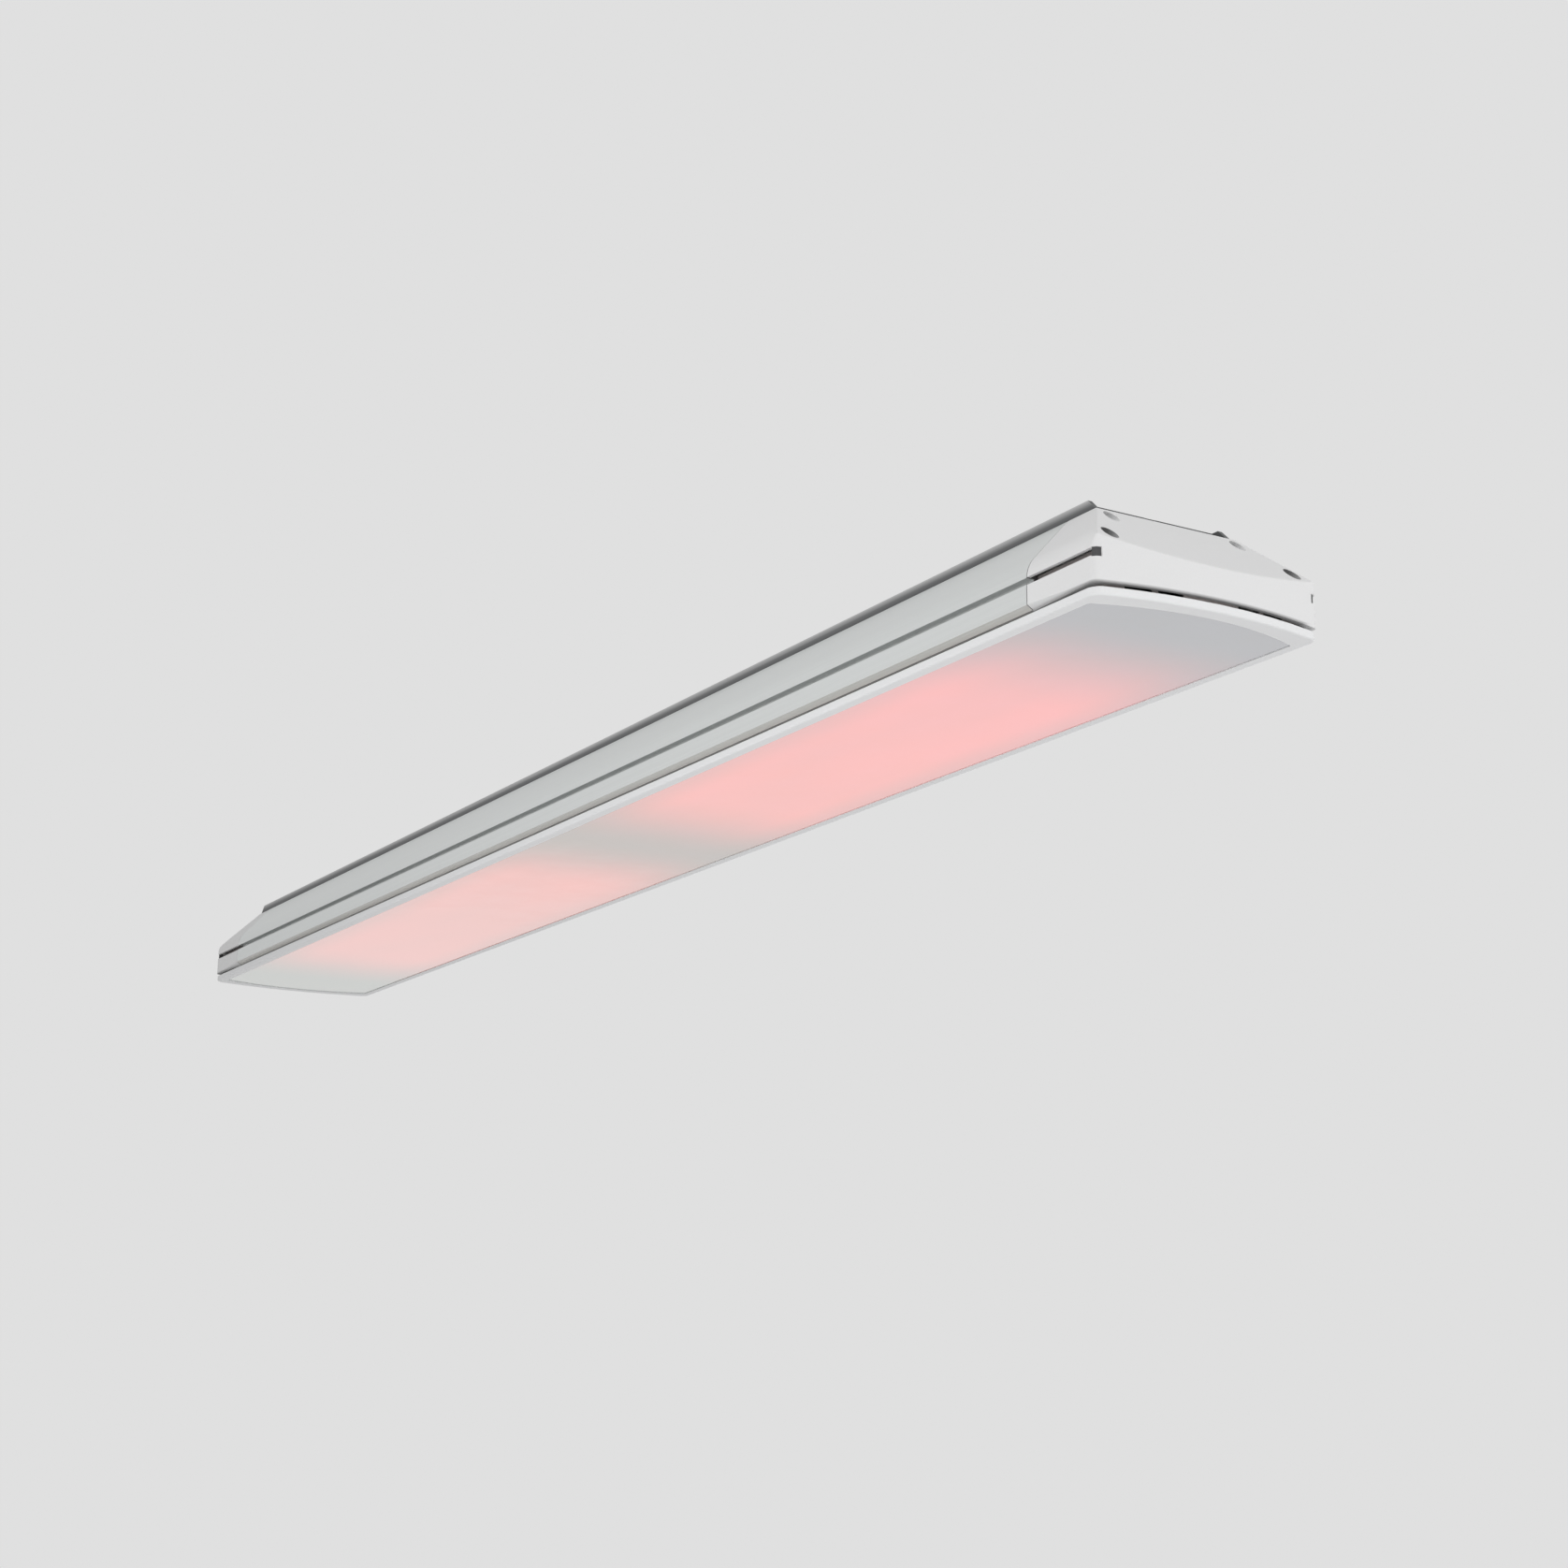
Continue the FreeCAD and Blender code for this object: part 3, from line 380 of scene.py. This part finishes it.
def lit_glass():
    """Translucent white glass: a smooth face over a milky body with painted reflection along the heater,
    and a painted red glow in two long zones standing in for the tubes' light from behind.
    """
    material, tree, shader = new_material("lit_glass")
    axes = axes_of(tree)
    tree.links.new(glow_strength(tree, axes), shader.inputs["Emission Strength"])
    # Painted reflection along the heater over the milky body colour
    length = spread_value(tree, axes["X"], -tint_reach, tint_reach, 0.0, 1.0)
    mottle = spread_value(tree, grain(tree, *glass_mottle), 0.3, 0.7, -tint_swing, tint_swing)
    stops = ((tint_far_stop, glass_far_tint_and_reflection), (0.5, glass_middle_tint), (1.0, glass_near_tint_and_reflection))
    tints = ramp(tree, combine(tree, "ADD", length, mottle), stops)
    tree.links.new(tints, shader.inputs["Base Color"])
    set_sockets(shader, Emission_Color=glow_colour, Roughness=0.55, Coat_Weight=1.0, Coat_Roughness=0.12,
                Coat_IOR=1.5, Specular_IOR_Level=0.0)
    return material


def sheet_metal(name, colour, roughness):
    """Rolled sheet with its grain along the heater."""
    return grained(name, colour, rolling_lines, variation=0.06, roughness=roughness, roughness_swing=0.08,
                   depth=line_depth, Metallic=1.0)


def sheet_with_painted_glow_and_shade():
    """Sheet in pale pinkish tones in soft patches, painted light standing in for the tubes' red glow in the
    gap, with painted shade above its lower edge, deeper inside the housing.
    """
    material, tree, shader = new_material("sheet_with_painted_glow_and_shade")
    patches = grain(tree, *tray_glow_patches)
    tree.links.new(ramp(tree, patches, tray_painted_glow_tones), shader.inputs["Base Color"])
    height = axes_of(tree)["Z"]
    # Painted shade above the lower edge
    tone(material, spread_value(tree, height, tray_pale_to, tray_painted_shade_from, 1.0, tray_painted_shade_share))
    tree.links.new(spread_value(tree, patches, 0.3, 0.7, 0.4, 0.6), shader.inputs["Roughness"])
    bump(tree, shader, grain(tree, *rolling_lines), line_depth)
    set_sockets(shader, Metallic=0.4)
    return material


def cast_metal(name, colour, roughness):
    """Plated or plain small metal part."""
    return grained(name, colour, cast_skin, variation=0.08, roughness=roughness, roughness_swing=0.1,
                   depth=line_depth, Metallic=1.0)


def moulded(name, colour, roughness):
    """Moulded plastic with a fine spark-eroded texture."""
    return grained(name, colour, moulded_skin, variation=0.05, roughness=roughness, roughness_swing=0.06,
                   depth=skin_depth)


def silicone_seal():
    """Grey silicone, paler towards the top."""
    material = moulded("silicone_seal", (0.62, 0.62, 0.62), 0.7)
    tree = material.node_tree
    height = axes_of(tree)["Z"]
    tone(material, spread_value(tree, height, seam_low, seam_high, seam_share, 1.0, smooth=True))
    return material


def clear_quartz():
    """Clear tube glass with faint draw lines."""
    material, tree, shader = new_material("clear_quartz")
    lines = grain(tree, *draw_lines)
    tree.links.new(ramp(tree, lines, quartz_tones), shader.inputs["Base Color"])
    tree.links.new(spread_value(tree, lines, 0.2, 0.8, 0.02, 0.08), shader.inputs["Roughness"])
    set_sockets(shader, Transmission_Weight=1.0, IOR=1.46)
    return material


def striped_lead():
    """Earth lead in green with yellow bands along its length."""
    material, tree, shader = new_material("striped_lead")
    bands = tree.nodes.new("ShaderNodeTexWave")
    bands.inputs["Scale"].default_value = earth_lead_band_scale
    bands.inputs["Distortion"].default_value = earth_lead_band_bend
    tree.links.new(place(tree), bands.inputs["Vector"])
    tree.links.new(ramp(tree, bands.outputs["Fac"], earth_lead_bands), shader.inputs["Base Color"])
    rough = spread_value(tree, grain(tree, *fine_skin), 0.2, 0.8, 0.45, 0.65)
    tree.links.new(rough, shader.inputs["Roughness"])
    return material


# One finish for each material slot: colour in linear light, then roughness
finishes = {
    "housing": anodised_housing(),
    "cap_white": coated_cap(),
    "frame_white": powder_coat("powder_coat_frame", (0.765, 0.769, 0.776)),
    "glass": lit_glass(),
    "silicone": silicone_seal(),
    "tray": sheet_with_painted_glow_and_shade(),
    "sheet": sheet_metal("plain_sheet", (0.6, 0.6, 0.59), 0.4),
    "reflector": sheet_metal("bright_sheet", (0.88, 0.88, 0.87), 0.14),
    "quartz": clear_quartz(),
    "filament": moulded("carbon_ribbon", (0.05, 0.045, 0.045), 0.6),
    "ceramic": moulded("steatite", (0.82, 0.80, 0.75), 0.55),
    "terminal": moulded("moulded_terminal", (0.72, 0.69, 0.62), 0.5),
    "lead": moulded("silicone_lead", (0.40, 0.10, 0.07), 0.55),
    "earth_lead": striped_lead(),
    "brass": cast_metal("plain_brass", (0.72, 0.54, 0.25), 0.3),
    "screw_steel": cast_metal("zinc_screw", (0.62, 0.62, 0.61), 0.32),
    "nut_steel": cast_metal("zinc_nut", (0.66, 0.66, 0.65), 0.34),
    "gland": moulded("grey_polyamide", (0.56, 0.57, 0.57), 0.45),
    "rail": dark_rail(),
    "plug": moulded("black_polyamide", (0.06, 0.06, 0.062), 0.5),
}


def dress_nodes():
    """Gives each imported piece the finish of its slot."""
    for part in frame["record"]["subparts"]:
        node = frame["nodes"][part["node"]]
        node.data.materials.clear()
        node.data.materials.append(finishes[part["material_slot"]])


def add_camera():
    """The photograph's view: yaw about Z, then pitch, then a small roll."""
    forward = Vector((math.sin(camera_yaw) * math.cos(camera_pitch),
                      math.cos(camera_yaw) * math.cos(camera_pitch),
                      math.sin(camera_pitch)))
    level_right = Vector((math.cos(camera_yaw), -math.sin(camera_yaw), 0.0))
    level_up = level_right.cross(forward)
    right = level_right * math.cos(camera_roll) + level_up * math.sin(camera_roll)
    up = level_up * math.cos(camera_roll) - level_right * math.sin(camera_roll)
    data = bpy.data.cameras.new("camera")
    data.sensor_width = camera_sensor_mm
    data.lens = camera_lens_mm
    camera = bpy.data.objects.new("camera", data)
    turn = Matrix((right, up, -forward)).transposed()
    camera.matrix_world = Matrix.Translation(camera_place) @ turn.to_4x4()
    bpy.context.scene.collection.objects.link(camera)
    bpy.context.scene.camera = camera


def rays(tree, first, *others):
    """1 for rays of the given kinds, 0 for rays that only carry light."""
    path = tree.nodes.new("ShaderNodeLightPath")
    chosen = path.outputs[first]
    for other in others:
        chosen = combine(tree, "MAXIMUM", chosen, path.outputs[other])
    return chosen


def show_mix(tree, factor, plain, chosen, output):
    """Links the output to the plain shader where the factor is 0, and to the chosen one where it is 1."""
    mix = tree.nodes.new("ShaderNodeMixShader")
    tree.links.new(factor, mix.inputs["Fac"])
    tree.links.new(plain, mix.inputs[1])
    tree.links.new(chosen, mix.inputs[2])
    tree.links.new(mix.outputs["Shader"], tree.nodes[output].inputs["Surface"])


def add_world():
    """Even soft light, and a flat pale background where it is seen or mirrored."""
    world = bpy.data.worlds.new("studio")
    world.use_nodes = True
    tree = world.node_tree
    light = tree.nodes["Background"]
    shown = tree.nodes.new("ShaderNodeBackground")
    for background, strength in ((light, sky_level), (shown, background_grey)):
        background.inputs["Color"].default_value = (1.0, 1.0, 1.0, 1.0)
        background.inputs["Strength"].default_value = strength
    seen = rays(tree, "Is Camera Ray", "Is Glossy Ray", "Is Transmission Ray")
    show_mix(tree, seen, light.outputs["Background"], shown.outputs["Background"], "World Output")
    bpy.context.scene.world = world


def floor_material():
    """Pale floor that keeps shadows, and shows as plain bright ground in gloss and glass."""
    material, tree, shader = new_material("plain_floor")
    set_sockets(shader, Roughness=0.8)
    stops = ((0.3, (floor_grey - floor_grey_swing,) * 3), (0.7, (floor_grey + floor_grey_swing,) * 3))
    tree.links.new(ramp(tree, grain(tree, *floor_mottle), stops), shader.inputs["Base Color"])
    shown = tree.nodes.new("ShaderNodeEmission")
    shown.inputs["Strength"].default_value = mirrored_floor
    mirrored = rays(tree, "Is Glossy Ray", "Is Transmission Ray")
    show_mix(tree, mirrored, shader.outputs["BSDF"], shown.outputs["Emission"], "Material Output")
    return material


def add_floor():
    """Plain pale floor below the heater."""
    mesh = bpy.data.meshes.new("floor")
    quarters = ((-1, -1), (1, -1), (1, 1), (-1, 1))
    corners = [(x * floor_reach, y * floor_reach, -floor_drop) for x, y in quarters]
    mesh.from_pydata(corners, [], [(0, 1, 2, 3)])
    floor = bpy.data.objects.new("floor", mesh)
    bpy.context.scene.collection.objects.link(floor)
    mesh.materials.append(floor_material())


def add_softbox(name, position, target, side, power):
    """A large square light that points at a target and isn't seen itself, nor mirrored."""
    data = bpy.data.lights.new(name, "AREA")
    data.shape = "SQUARE"
    data.size = side
    data.energy = power
    lamp = bpy.data.objects.new(name, data)
    lamp.location = position
    lamp.rotation_euler = (Vector(target) - Vector(position)).to_track_quat("-Z", "Y").to_euler()
    lamp.visible_camera = False
    lamp.visible_glossy = False
    bpy.context.scene.collection.objects.link(lamp)


dress_nodes()
add_camera()
add_world()
add_floor()
for name, setting in softboxes.items():
    add_softbox(name, *setting)

bpy.context.scene.view_settings.view_transform = "Standard"
